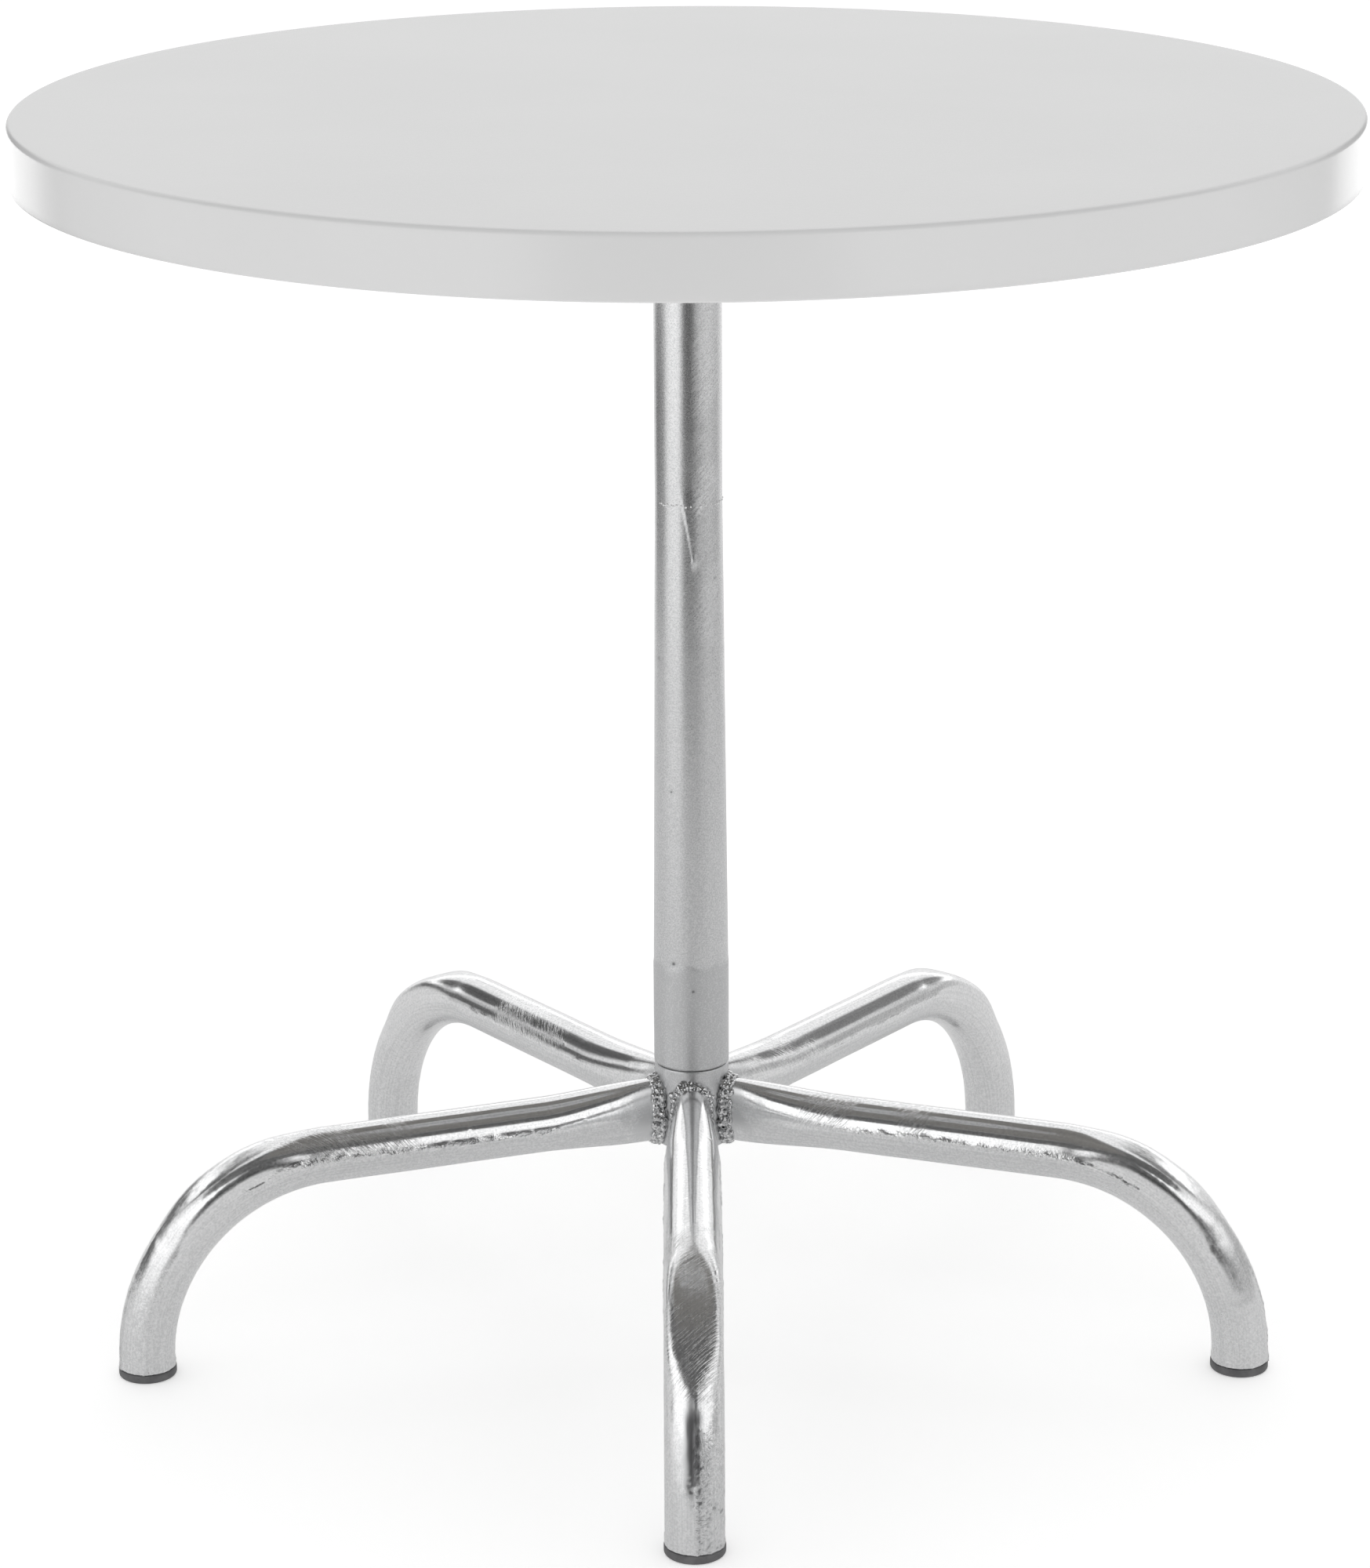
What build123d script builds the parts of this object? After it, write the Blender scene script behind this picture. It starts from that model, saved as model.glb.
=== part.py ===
from build123d import *

import math
import os

# Bistro table: a moulded round top on one pipe column that stands on five bent pipe legs.
# Millimetres, +Z up. The origin is on the floor, on the column's axis. The front is -Y.

# --- driving dimensions ---
TABLE_HEIGHT = 750.0
TOP_DIAMETER = 780.0
RIM_HEIGHT = 36.0
PIPE_WALL = 2.6
COLUMN_OD = 40.2
HUB_OD = 45.4
TAPER_TOP = 515.0
TAPER_BOTTOM = 230.0
LEG_OD = 33.7
LEG_NAMES = ("front", "front_right", "back_right", "back_left", "front_left")
BEND_TOP_HEIGHT = 127.0
FOOT_RADIUS = 346.5
JOINT_HEIGHT = 160.0

# --- table top ---
SKIN_THICKNESS = 4.0
RIM_THICKNESS = 4.5
RIM_EDGE_RADIUS = 3.0
LIP_RADIUS = 1.2
BOARD_THICKNESS = 18.0
BOARD_GAP = 1.5

# --- plate that carries the top ---
PLATE_DIAMETER = 230.0
PLATE_THICKNESS = 6.0
GUSSET_COUNT = 4
GUSSET_START = 45.0
GUSSET_REACH = 62.0
GUSSET_DROP = 55.0
GUSSET_THICKNESS = 5.0
GUSSET_TIP = 10.0

# --- screws, washers (bore, outside, thickness) and inserts ---
SCREW_COUNT = 6
SCREW_START = 30.0
SCREW_CIRCLE = 180.0
SCREW_HOLE = 9.0
SCREW_OD = 8.0
SCREW_LENGTH = 18.0
SCREW_HEX = 13.0
SCREW_HEAD = 5.3
SCREW_WASHER = (8.4, 16.0, 1.6)
INSERT_OD = 12.0
INSERT_BORE = 8.2
INSERT_LENGTH = 15.0
INSERT_END_GAP = 0.5
HEAD_FACE_SHARE = 0.95
HEAD_CHAMFER_ANGLE = 30.0
TIP_CHAMFER_SHARE = 0.1

# --- hub and the clamp inside it ---
HUB_BOTTOM = 108.5
HUB_GAP = 0.5
SLIDING_GAP = 0.1
SPIGOT_WALL = 3.0
BASE_PLATE_BOTTOM = 116.5
BASE_PLATE_THICKNESS = 8.0
SPIGOT_TOP = 216.0
NUT_PLATE_BOTTOM = 220.0
NUT_PLATE_THICKNESS = 10.0
BOLT_DIAMETER = 12.0
BOLT_HEX = 19.0
BOLT_HEAD = 7.5
BOLT_HOLE = 13.0
BOLT_PASS = 6.0
CLAMP_WASHER = (13.0, 24.0, 2.5)

# --- legs ---
BEND_RADIUS = 116.0
LEG_SLOPE = 0.8
LEG_END_WIDTH = 24.6
LEG_END_HEIGHT = 40.0
LEG_ROUND_FROM = 100.0
LEG_STEPS = 4
INSIDE_HUB_SHARE = 0.6
WELD_SIZE = 3.0
LEG_WELD_SIZE = 5.0
WEDGE_SHY = 0.02

# --- foot plugs ---
FOOT_FLANGE = 5.5
PLUG_FLANGE_RADIUS = 17.4
PLUG_EDGE_RADIUS = 1.6
PLUG_STEM = 14.0
PLUG_STEM_GAP = 1.2
PLUG_RIBS = 2
PLUG_RIB = 1.2
PLUG_RIB_PITCH = 3.0

# --- worked out ---
LEG_COUNT = len(LEG_NAMES)
LEG_PITCH = 360.0 / LEG_COUNT
TOP_RADIUS = TOP_DIAMETER / 2
HUB_RADIUS = HUB_OD / 2
HUB_BORE = HUB_RADIUS - PIPE_WALL
LEG_BORE = LEG_OD / 2 - PIPE_WALL
BOARD_TOP = TABLE_HEIGHT - SKIN_THICKNESS
PLATE_TOP = BOARD_TOP - BOARD_THICKNESS
PLATE_BOTTOM = PLATE_TOP - PLATE_THICKNESS
RIM_BOTTOM = TABLE_HEIGHT - RIM_HEIGHT
INNER_RADIUS = HUB_BORE - SLIDING_GAP
SLOPE_SIN = math.sin(math.radians(LEG_SLOPE))
SLOPE_COS = math.cos(math.radians(LEG_SLOPE))
BEND_CENTRE = (FOOT_RADIUS - BEND_RADIUS, BEND_TOP_HEIGHT - BEND_RADIUS * SLOPE_COS)
BEND_START = BEND_CENTRE[0] + BEND_RADIUS * SLOPE_SIN
ON_PIPE_END = (Align.CENTER, Align.CENTER, Align.MIN)


def disc(radius, bottom, thickness):
    """Solid round plate on the column's axis."""
    return Pos(0, 0, bottom) * Cylinder(radius, thickness, align=ON_PIPE_END)


def pipe(outer, inner, bottom, top):
    """Straight pipe on the column's axis."""
    return disc(outer, bottom, top - bottom) - disc(inner, bottom, top - bottom)


def at_screws(piece):
    """Copies of a piece on the screw circle."""
    step = 360.0 / SCREW_COUNT
    out = Pos(SCREW_CIRCLE / 2, 0, 0)
    return [Rot(0, 0, SCREW_START + index * step) * out * piece for index in range(SCREW_COUNT)]


# --- table top ---
def tabletop_shell():
    """Moulded skin: flat top and straight rim, open underneath."""
    outer = disc(TOP_RADIUS, RIM_BOTTOM, RIM_HEIGHT)
    hollow = disc(TOP_RADIUS - RIM_THICKNESS, RIM_BOTTOM, RIM_HEIGHT - SKIN_THICKNESS)
    shell = outer - hollow
    circles = shell.edges().filter_by(GeomType.CIRCLE)
    top_edge = circles.sort_by(Axis.Z)[-1]
    shell = fillet(top_edge, RIM_EDGE_RADIUS)
    lip_edges = shell.edges().filter_by(GeomType.CIRCLE).group_by(Axis.Z)[0]
    return fillet(lip_edges, LIP_RADIUS)


def core_board():
    """Plywood disc bonded under the skin, with blind holes for the inserts."""
    radius = TOP_RADIUS - RIM_THICKNESS - BOARD_GAP
    board = disc(radius, PLATE_TOP, BOARD_THICKNESS)
    hole = disc(INSERT_OD / 2, PLATE_TOP, INSERT_LENGTH + INSERT_END_GAP)
    return board - at_screws(hole)


# --- screws that hold the top ---
def hex_bolt(diameter, length, across_flats, head, seat):
    """Hexagon bolt that points up from the height of its seat, its head's corners chamfered."""
    hexagon = RegularPolygon(across_flats / 2, 6, major_radius=False)
    face = across_flats / 2 * HEAD_FACE_SHARE
    wide = face + head / math.tan(math.radians(HEAD_CHAMFER_ANGLE))
    body = extrude(hexagon, head) & Cone(face, wide, head, align=ON_PIPE_END)
    shank = disc(diameter / 2, seat, length)
    tip = shank.edges().filter_by(GeomType.CIRCLE).sort_by(Axis.Z)[-1]
    return Pos(0, 0, seat - head) * body + chamfer(tip, diameter * TIP_CHAMFER_SHARE)


def washer(inner, outer, thickness, top):
    """Flat washer whose upper face is at the given height."""
    return pipe(outer / 2, inner / 2, top - thickness, top)


def threaded_inserts():
    """Steel sleeves in the board that the screws bite into."""
    sleeve = pipe(INSERT_OD / 2 - SLIDING_GAP, INSERT_BORE / 2, PLATE_TOP, PLATE_TOP + INSERT_LENGTH)
    return Compound(children=at_screws(sleeve))


def top_screws():
    """Hexagon screws up through the plate."""
    seat = PLATE_BOTTOM - SCREW_WASHER[2]
    return Compound(children=at_screws(hex_bolt(SCREW_OD, SCREW_LENGTH, SCREW_HEX, SCREW_HEAD, seat)))


def top_washers():
    """A washer under each screw head."""
    return Compound(children=at_screws(washer(*SCREW_WASHER, PLATE_BOTTOM)))


# --- plate, ribs and column ---
def top_flange():
    """Round steel plate with a hole for each screw."""
    plate = disc(PLATE_DIAMETER / 2, PLATE_BOTTOM, PLATE_THICKNESS)
    return plate - at_screws(disc(SCREW_HOLE / 2, PLATE_BOTTOM, PLATE_THICKNESS))


def gusset(angle):
    """Triangular rib between the column and the plate."""
    inner = COLUMN_OD / 2 + SLIDING_GAP
    outline = Polyline(
        (inner, PLATE_BOTTOM),
        (inner + GUSSET_REACH, PLATE_BOTTOM),
        (inner + GUSSET_REACH, PLATE_BOTTOM - GUSSET_TIP),
        (inner + GUSSET_TIP, PLATE_BOTTOM - GUSSET_DROP),
        (inner, PLATE_BOTTOM - GUSSET_DROP),
        close=True,
    )
    rib = extrude(Plane.XZ * make_face(outline), GUSSET_THICKNESS / 2, both=True)
    return Rot(0, 0, angle) * (rib - weld_cone())


def weld_cone():
    """Cone that bounds the weld under the plate."""
    radius = COLUMN_OD / 2
    cone = Cone(radius, radius + WELD_SIZE, WELD_SIZE, align=ON_PIPE_END)
    return Pos(0, 0, PLATE_BOTTOM - WELD_SIZE) * cone


def flange_weld():
    """Fillet weld round the column under the plate."""
    return weld_cone() - disc(COLUMN_OD / 2, PLATE_BOTTOM - WELD_SIZE, WELD_SIZE)


def column_tube():
    """Upright pipe from the joint line to the plate, drawn thinner over its upper half."""
    outside = [
        (HUB_RADIUS, JOINT_HEIGHT),
        (HUB_RADIUS, TAPER_BOTTOM),
        (COLUMN_OD / 2, TAPER_TOP),
        (COLUMN_OD / 2, PLATE_BOTTOM),
    ]
    inside = [(radius - PIPE_WALL, height) for radius, height in reversed(outside)]
    wall = Plane.XZ * make_face(Polyline(*outside, *inside, close=True))
    return revolve(wall, Axis.Z)


def column_nut_plate():
    """Threaded disc fixed inside the column, which the clamp bolt pulls down on."""
    plate = disc(INNER_RADIUS, NUT_PLATE_BOTTOM, NUT_PLATE_THICKNESS)
    return plate - disc(BOLT_DIAMETER / 2 + SLIDING_GAP, NUT_PLATE_BOTTOM, NUT_PLATE_THICKNESS)


# --- hub and clamp ---
def hub_tube():
    """Short pipe that the legs are welded to."""
    return pipe(HUB_RADIUS, HUB_BORE, HUB_BOTTOM, JOINT_HEIGHT - HUB_GAP)


def hub_base_plate():
    """Disc in the hub's lower end with the clamp bolt's hole."""
    plate = disc(INNER_RADIUS, BASE_PLATE_BOTTOM, BASE_PLATE_THICKNESS)
    return plate - disc(BOLT_HOLE / 2, BASE_PLATE_BOTTOM, BASE_PLATE_THICKNESS)


def spigot_tube():
    """Inner sleeve that stands up out of the hub and keeps the column straight."""
    bottom = BASE_PLATE_BOTTOM + BASE_PLATE_THICKNESS
    return pipe(INNER_RADIUS, INNER_RADIUS - SPIGOT_WALL, bottom, SPIGOT_TOP)


def clamp_washer():
    """Washer between the base plate and the bolt head."""
    return washer(*CLAMP_WASHER, BASE_PLATE_BOTTOM)


def clamp_bolt():
    """Long bolt from below that pulls the column down on the hub."""
    seat = BASE_PLATE_BOTTOM - CLAMP_WASHER[2]
    length = NUT_PLATE_BOTTOM + NUT_PLATE_THICKNESS + BOLT_PASS - seat
    return hex_bolt(BOLT_DIAMETER, length, BOLT_HEX, BOLT_HEAD, seat)


# --- legs ---
def across_leg(along):
    """Plane across the leg's straight run at a distance from the column's axis. The run falls outwards."""
    height = BEND_TOP_HEIGHT + (BEND_START - along) * SLOPE_SIN / SLOPE_COS
    return Plane(
        origin=(0, -along, height),
        x_dir=(0, -SLOPE_SIN, SLOPE_COS),
        z_dir=(0, -SLOPE_COS, -SLOPE_SIN),
    )


def leg_section(along, extra):
    """Outline across the leg at a distance from the column's axis, grown by extra."""
    share = min(max((along - HUB_RADIUS) / (LEG_ROUND_FROM - HUB_RADIUS), 0.0), 1.0)
    blend = share * share * (3 - 2 * share)
    width = LEG_END_WIDTH + (LEG_OD - LEG_END_WIDTH) * blend
    height = LEG_END_HEIGHT + (LEG_OD - LEG_END_HEIGHT) * blend
    return across_leg(along) * Ellipse(height / 2 + extra, width / 2 + extra)


def leg_squeezed_end(extra):
    """The stretch next to the hub, where the pipe is squeezed from round to a tall oval."""
    step = (LEG_ROUND_FROM - HUB_RADIUS) / LEG_STEPS
    sections = [leg_section(HUB_RADIUS * INSIDE_HUB_SHARE, extra)]
    for index in range(LEG_STEPS + 1):
        sections.append(leg_section(HUB_RADIUS + index * step, extra))
    return loft(sections)


def leg_round_part(radius, foot_end):
    """Straight run, bend and short drop to the foot, as a solid bar."""
    run = (BEND_START - LEG_ROUND_FROM) / SLOPE_COS
    level = extrude(across_leg(LEG_ROUND_FROM) * Circle(radius), run)
    bend_axis = Axis((0, -BEND_CENTRE[0], BEND_CENTRE[1]), (1, 0, 0))
    bend = revolve(across_leg(BEND_START) * Circle(radius), bend_axis, 90.0 - LEG_SLOPE)
    drop = Pos(0, -FOOT_RADIUS, foot_end) * Cylinder(
        radius, BEND_CENTRE[1] - foot_end, align=ON_PIPE_END
    )
    return level + bend + drop


def leg_bar(extra, foot_end):
    """The whole leg as a solid bar, grown by extra."""
    return leg_squeezed_end(extra) + leg_round_part(LEG_OD / 2 + extra, foot_end)


def leg():
    """Bent pipe leg that points to the front, cut to sit against the hub."""
    pipe_leg = leg_bar(0.0, FOOT_FLANGE) - leg_bar(-PIPE_WALL, FOOT_FLANGE)
    return pipe_leg - disc(HUB_RADIUS, 0, TABLE_HEIGHT / 2)


def leg_weld():
    """Weld bead round the front leg's end, where it meets the hub."""
    near_leg = leg_squeezed_end(LEG_WELD_SIZE)
    near_hub = pipe(HUB_RADIUS + LEG_WELD_SIZE, HUB_RADIUS, HUB_BOTTOM, JOINT_HEIGHT - HUB_GAP)
    bead = (near_leg & near_hub) - leg_squeezed_end(0.0)
    half = math.radians(LEG_PITCH / 2)
    corner = (HUB_OD * math.sin(half), -HUB_OD * math.cos(half))
    sector = make_face(Polyline((0, -WEDGE_SHY), corner, (-corner[0], corner[1]), close=True))
    return bead & extrude(sector, TABLE_HEIGHT / 2)


def foot_plug():
    """Plastic glide under the front leg: a flange below the pipe and a ribbed stem inside it."""
    flange = Cylinder(PLUG_FLANGE_RADIUS, FOOT_FLANGE, align=ON_PIPE_END)
    flange = fillet(flange.edges().sort_by(Axis.Z)[0], PLUG_EDGE_RADIUS)
    plug = flange + disc(LEG_BORE - PLUG_STEM_GAP, FOOT_FLANGE, PLUG_STEM)
    for index in range(PLUG_RIBS):
        bottom = FOOT_FLANGE + PLUG_RIB_PITCH * (index + 0.5)
        plug += disc(LEG_BORE - SLIDING_GAP, bottom, PLUG_RIB)
    return Pos(0, -FOOT_RADIUS, 0) * plug


def write(node, shape):
    """One STEP file for each separate piece or group of the same fastener."""
    shape.label = node
    export_step(shape, "parts/" + node + ".step")


def main():
    os.makedirs("parts", exist_ok=True)
    for build in (
        tabletop_shell, core_board, threaded_inserts, top_screws, top_washers, top_flange,
        flange_weld, column_tube, column_nut_plate, hub_tube, hub_base_plate, spigot_tube,
        clamp_washer, clamp_bolt,
    ):
        write(build.__name__, build())
    for index in range(GUSSET_COUNT):
        write(f"gusset_{index + 1}", gusset(GUSSET_START + index * 360.0 / GUSSET_COUNT))
    for build in (leg, leg_weld, foot_plug):
        front = build()
        for index, name in enumerate(LEG_NAMES):
            write(f"{build.__name__}_{name}", Rot(0, 0, index * LEG_PITCH) * front)


main()
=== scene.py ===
import math

import bmesh
import bpy
import numpy as np
from mathutils import Matrix, Vector


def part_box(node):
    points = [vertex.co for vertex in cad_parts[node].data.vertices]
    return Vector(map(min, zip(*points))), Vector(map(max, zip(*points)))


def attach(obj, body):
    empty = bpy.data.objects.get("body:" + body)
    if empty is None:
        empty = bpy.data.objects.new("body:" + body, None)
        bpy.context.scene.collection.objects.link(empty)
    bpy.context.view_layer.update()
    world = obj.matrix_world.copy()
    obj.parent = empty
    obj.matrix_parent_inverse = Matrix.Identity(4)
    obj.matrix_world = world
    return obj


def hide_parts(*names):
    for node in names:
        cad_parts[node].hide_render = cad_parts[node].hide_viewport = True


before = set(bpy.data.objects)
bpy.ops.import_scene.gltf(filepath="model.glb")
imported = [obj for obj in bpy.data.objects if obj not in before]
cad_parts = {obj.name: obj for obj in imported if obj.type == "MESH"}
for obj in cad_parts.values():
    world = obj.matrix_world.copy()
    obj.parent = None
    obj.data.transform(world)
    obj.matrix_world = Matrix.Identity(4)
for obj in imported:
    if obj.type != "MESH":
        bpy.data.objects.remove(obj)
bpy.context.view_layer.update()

MM = 0.001

# --- places and sizes read from the frame, in metres ---
top_low, top_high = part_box("tabletop_shell")
column_low, column_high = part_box("column_tube")
hub_low, hub_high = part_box("hub_tube")
leg_low, leg_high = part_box("leg_front")
plug_low, plug_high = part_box("foot_plug_front")

TOP_RADIUS = (top_high.x - top_low.x) / 2
TOP_HEIGHT = top_high.z
RIM_BOTTOM = top_low.z
HUB_RADIUS = (hub_high.x - hub_low.x) / 2
LEG_RADIUS = (leg_high.x - leg_low.x) / 2
FOOT_OUT = -leg_low.y - LEG_RADIUS
FOOT_END = leg_low.z

# --- shape of the column and the leg, as they are made ---
COLUMN_RADIUS = 20.1 * MM
TAPER_TOP = 515.0 * MM
TAPER_BOTTOM = 230.0 * MM
LEG_NAMES = ("front", "front_right", "back_right", "back_left", "front_left")
LEG_TURN = math.tau / len(LEG_NAMES)
OVAL_WIDTH = 24.6 * MM
OVAL_HEIGHT = 40.0 * MM
ROUND_FROM = 100.0 * MM
BEND_RADIUS = 116.0 * MM
BEND_TOP = 127.0 * MM
LEG_SLOPE = math.radians(0.8)
PIPE_WALL = 2.6 * MM
SQUEEZE_FLATNESS = 0.6
END_GAP = 1.6 * MM
END_PINCH = 3.4 * MM
BEND_FLATNESS = 2.2
BEND_CENTRE_OUT = FOOT_OUT - BEND_RADIUS
BEND_CENTRE_UP = BEND_TOP - BEND_RADIUS * math.cos(LEG_SLOPE)
BEND_START = BEND_CENTRE_OUT + BEND_RADIUS * math.sin(LEG_SLOPE)
RUN = (BEND_START - HUB_RADIUS) / math.cos(LEG_SLOPE)
BEND = BEND_RADIUS * (math.pi / 2 - LEG_SLOPE)
LEG_LENGTH = RUN + BEND + BEND_CENTRE_UP - FOOT_END
AXIS_AT_HUB = BEND_TOP + (BEND_START - HUB_RADIUS) * math.tan(LEG_SLOPE)
RIM_WALL = 4.5 * MM
SKIN = 4.0 * MM
RIM_EDGE = 3.0 * MM
LIP_EDGE = 1.2 * MM

# --- how fine the meshes are ---
TOP_COLUMNS = 384
PIPE_COLUMNS = 160
PLUG_COLUMNS = 96
LEG_COLUMNS = 140
LEG_ROWS = 520
BORE_STEP = 8
WELD_STEPS = 44
WELD_VOXEL = 0.36 * MM
ROUND_COUNT = 96

# --- marks in the zinc ---
# stretches of each leg, in metres from the hub, that were wiped while the zinc was wet
WIPED = {
    "front": (0.2, 0.32),
    "front_right": (0.05, 0.13),
    "back_right": (0.02, 0.1),
    "back_left": (0.1, 0.17),
    "front_left": (0.16, 0.24),
}
PITS_PER_LEG = 22
FRONT = -math.pi / 2
BAND_TOP = column_low.z + 66.6 * MM
# bearing from the front in degrees, height in metres and size in mm of the upright's pits
SPOTS = (
    (-32, 0.338, 0.9),
    (-28, 0.229, 1.3),
    (3, 0.212, 0.9),
    (48, 0.47, 0.8),
    (-60, 0.42, 0.8),
    (130, 0.3, 1.2),
    (170, 0.5, 1.0),
)

# --- camera and studio ---
CAMERA_BACK = 2.7013
CAMERA_HEIGHT = 1.1972
CAMERA_SIDE = -0.0031
CAMERA_PITCH = 17.657
CAMERA_ROLL = 0.331
CAMERA_LENS = 107.68
CAMERA_SENSOR = 36.0
FLOOR_RADIUS = 30.0
FLOOR_GLOW = 0.36
OVERHEAD_POWER = 7.4
FRONT_POWER = 10
ROOM_DIFFUSE = 0.72
DARK_CEILING = 0.12
# levels of the room by direction, as a share of a turn from behind (0) by the left (0.25),
# the front (0.5) and the right (0.75)
ROOM = (
    (0.0, 1.0), (0.1, 1.0), (0.17, 0.9), (0.19, 0.12),
    (0.81, 0.12), (0.83, 0.9), (0.9, 1.0), (1.0, 1.0),
)
SCREEN_RADIUS = 1.35
SCREEN_LOW = 0.02
SCREEN_HIGH = 1.16
# each layer of the ring of screens: the heights over which it takes over from the one below,
# and its levels in the same directions
SCREEN_LAYERS = (
    (0.0, 0.0, (
        (0.0, 0.9), (0.09, 0.9), (0.13, 0.6), (0.22, 0.6), (0.29, 0.9), (0.4, 0.95),
        (0.47, 0.2), (0.56, 0.2), (0.67, 0.5), (0.8, 0.5), (0.9, 0.9), (1.0, 0.9),
    )),
    (0.08, 0.2, (
        (0.0, 0.9), (0.09, 0.9), (0.13, 0.12), (0.24, 0.12), (0.31, 1.0), (0.4, 1.1), (0.465, 0.06),
        (0.58, 0.06), (0.67, 0.42), (0.7, 0.5), (0.8, 0.45), (0.9, 0.9), (1.0, 0.9),
    )),
    (0.34, 0.46, (
        (0.0, 1.1), (0.15, 1.0), (0.185, 0.4), (0.205, 0.8), (0.3, 1.25), (0.43, 1.38), (0.46, 0.1),
        (0.545, 0.1), (0.575, 1.2), (0.72, 1.1), (0.795, 0.8), (0.83, 0.6), (0.85, 1.0), (1.0, 1.1),
    )),
    (0.43, 0.49, (
        (0.0, 1.55), (0.15, 1.55), (0.185, 0.5), (0.205, 0.8), (0.3, 1.25), (0.43, 1.38),
        (0.46, 0.1), (0.545, 0.1), (0.575, 1.2), (0.72, 1.1), (0.795, 0.8), (0.83, 0.6),
        (0.85, 1.65), (1.0, 1.55),
    )),
    (0.58, 0.68, (
        (0.0, 0.95), (0.09, 0.95), (0.115, 0.1), (0.18, 0.1), (0.205, 0.8), (0.3, 1.25),
        (0.43, 1.38), (0.465, 0.1), (0.54, 0.1), (0.57, 1.2), (0.72, 1.1), (0.795, 0.8),
        (0.82, 0.22), (0.885, 0.22), (0.91, 0.95), (1.0, 0.95),
    )),
)


# --- random but repeatable surface unevenness ---
def waves(points, size, seed, count=26):
    """Smooth unevenness about -1 to 1 over points, with features of about the given size."""
    rng = np.random.default_rng(seed)
    way = rng.normal(size=(count, 3))
    way /= np.linalg.norm(way, axis=1)[:, None]
    pitch = math.tau / (size * rng.uniform(0.7, 1.6, count))
    phase = rng.uniform(0, math.tau, count)
    total = np.sin(points @ (way * pitch[:, None]).T + phase).sum(-1)
    return total / math.sqrt(count)


def step(low, high, value):
    """0 below low, 1 above high and smooth between."""
    t = np.clip((value - low) / (high - low), 0.0, 1.0)
    return t * t * (3 - 2 * t)


def stretch(value, start, full, fade, end):
    """1 from full to fade, 0 before start and after end, and smooth between."""
    return step(start, full, value) * (1 - step(fade, end, value))


def hump(distance, width):
    """1 at distance 0, falling to nothing over about the width."""
    return np.exp(-((distance / width) ** 2))


def directions(index):
    """A leg's outward, sideways and upward directions."""
    turn = index * LEG_TURN
    out = np.array([math.sin(turn), -math.cos(turn), 0.0])
    side = np.array([math.cos(turn), math.sin(turn), 0.0])
    return out, side, np.array([0.0, 0.0, 1.0])


# --- meshes ---
def grid_mesh(name, points, closed_ends=False, wrap_rows=False, uv=None, attributes=None):
    """A tube of rings: points is rows x columns x 3, and each row closes on itself."""
    rows, columns = points.shape[:2]
    index = np.arange(rows * columns).reshape(rows, columns)
    first = index if wrap_rows else index[:-1]
    second = np.roll(index, -1, axis=0) if wrap_rows else index[1:]
    faces = np.stack(
        [first, np.roll(first, -1, 1), np.roll(second, -1, 1), second], -1
    ).reshape(-1, 4)
    mesh = bpy.data.meshes.new(name)
    polygons = faces.tolist()
    if closed_ends:
        polygons += [index[0][::-1].tolist(), index[-1].tolist()]
    mesh.from_pydata(points.reshape(-1, 3).tolist(), [], polygons)
    if uv is not None:
        write_uv(mesh, uv, faces, columns)
    for key, value in (attributes or {}).items():
        layer = mesh.attributes.new(key, "FLOAT", "POINT")
        layer.data.foreach_set("value", value.reshape(-1).astype(np.float32))
    mesh.validate()
    mesh.shade_smooth()
    piece = bpy.data.objects.new(name, mesh)
    bpy.context.scene.collection.objects.link(piece)
    return piece


def write_uv(mesh, uv, faces, columns):
    """UV in metres: along the piece and round it, with the last column carried past the seam."""
    layer = mesh.uv_layers.new(name="metres")
    along = uv[0].reshape(-1)[faces]
    around = uv[1].reshape(-1)[faces]
    full = uv[2]
    seam = (faces % columns)[:, 0] == columns - 1
    around[seam, 1] = full
    around[seam, 2] = full
    flat = np.stack([along, around], -1).reshape(-1, 2)
    whole = np.zeros((len(mesh.loops), 2), np.float32)
    whole[: len(flat)] = flat
    layer.data.foreach_set("uv", whole.reshape(-1))


def lathe(name, profile, columns, uneven=None):
    """Turns an outline of (radius, height) about the column's axis and caps both its ends."""
    angle = np.linspace(0, math.tau, columns, endpoint=False)
    profile = np.array(profile, float)
    radius, height = profile[:, 0][:, None], profile[:, 1][:, None]
    points = np.stack(
        [radius * np.cos(angle), radius * np.sin(angle), height + 0 * angle], -1
    )
    if uneven is not None:
        points = uneven(points)
    return grid_mesh(name, points, closed_ends=True)


def arc(centre, radius, start, end, count):
    """Points of (radius, height) on an arc, angles in degrees."""
    turn = np.radians(np.linspace(start, end, count))
    return [
        (centre[0] + radius * math.cos(t), centre[1] + radius * math.sin(t)) for t in turn
    ]


def line(start, end, count):
    """Points evenly from start up to but not including end."""
    start, whole = np.array(start), np.array(end) - np.array(start)
    return [tuple(start + whole * i / count) for i in range(count)]


def finish_piece(piece, material, slot, *nodes):
    """Gives a piece its material, and ties it to the frame."""
    piece.data.materials.clear()
    piece.data.materials.append(material)
    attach(piece, "root")
    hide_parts(*nodes)
    return piece


# --- materials ---
def new_material(name):
    material = bpy.data.materials.new(name)
    material.use_nodes = True
    tree = material.node_tree
    return material, tree, tree.nodes["Principled BSDF"]


def add(tree, kind, values=None, **settings):
    """A node with its settings and the values of its inputs."""
    made = tree.nodes.new(kind)
    for key, value in settings.items():
        setattr(made, key, value)
    for key, value in (values or {}).items():
        made.inputs[key].default_value = value
    return made


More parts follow.
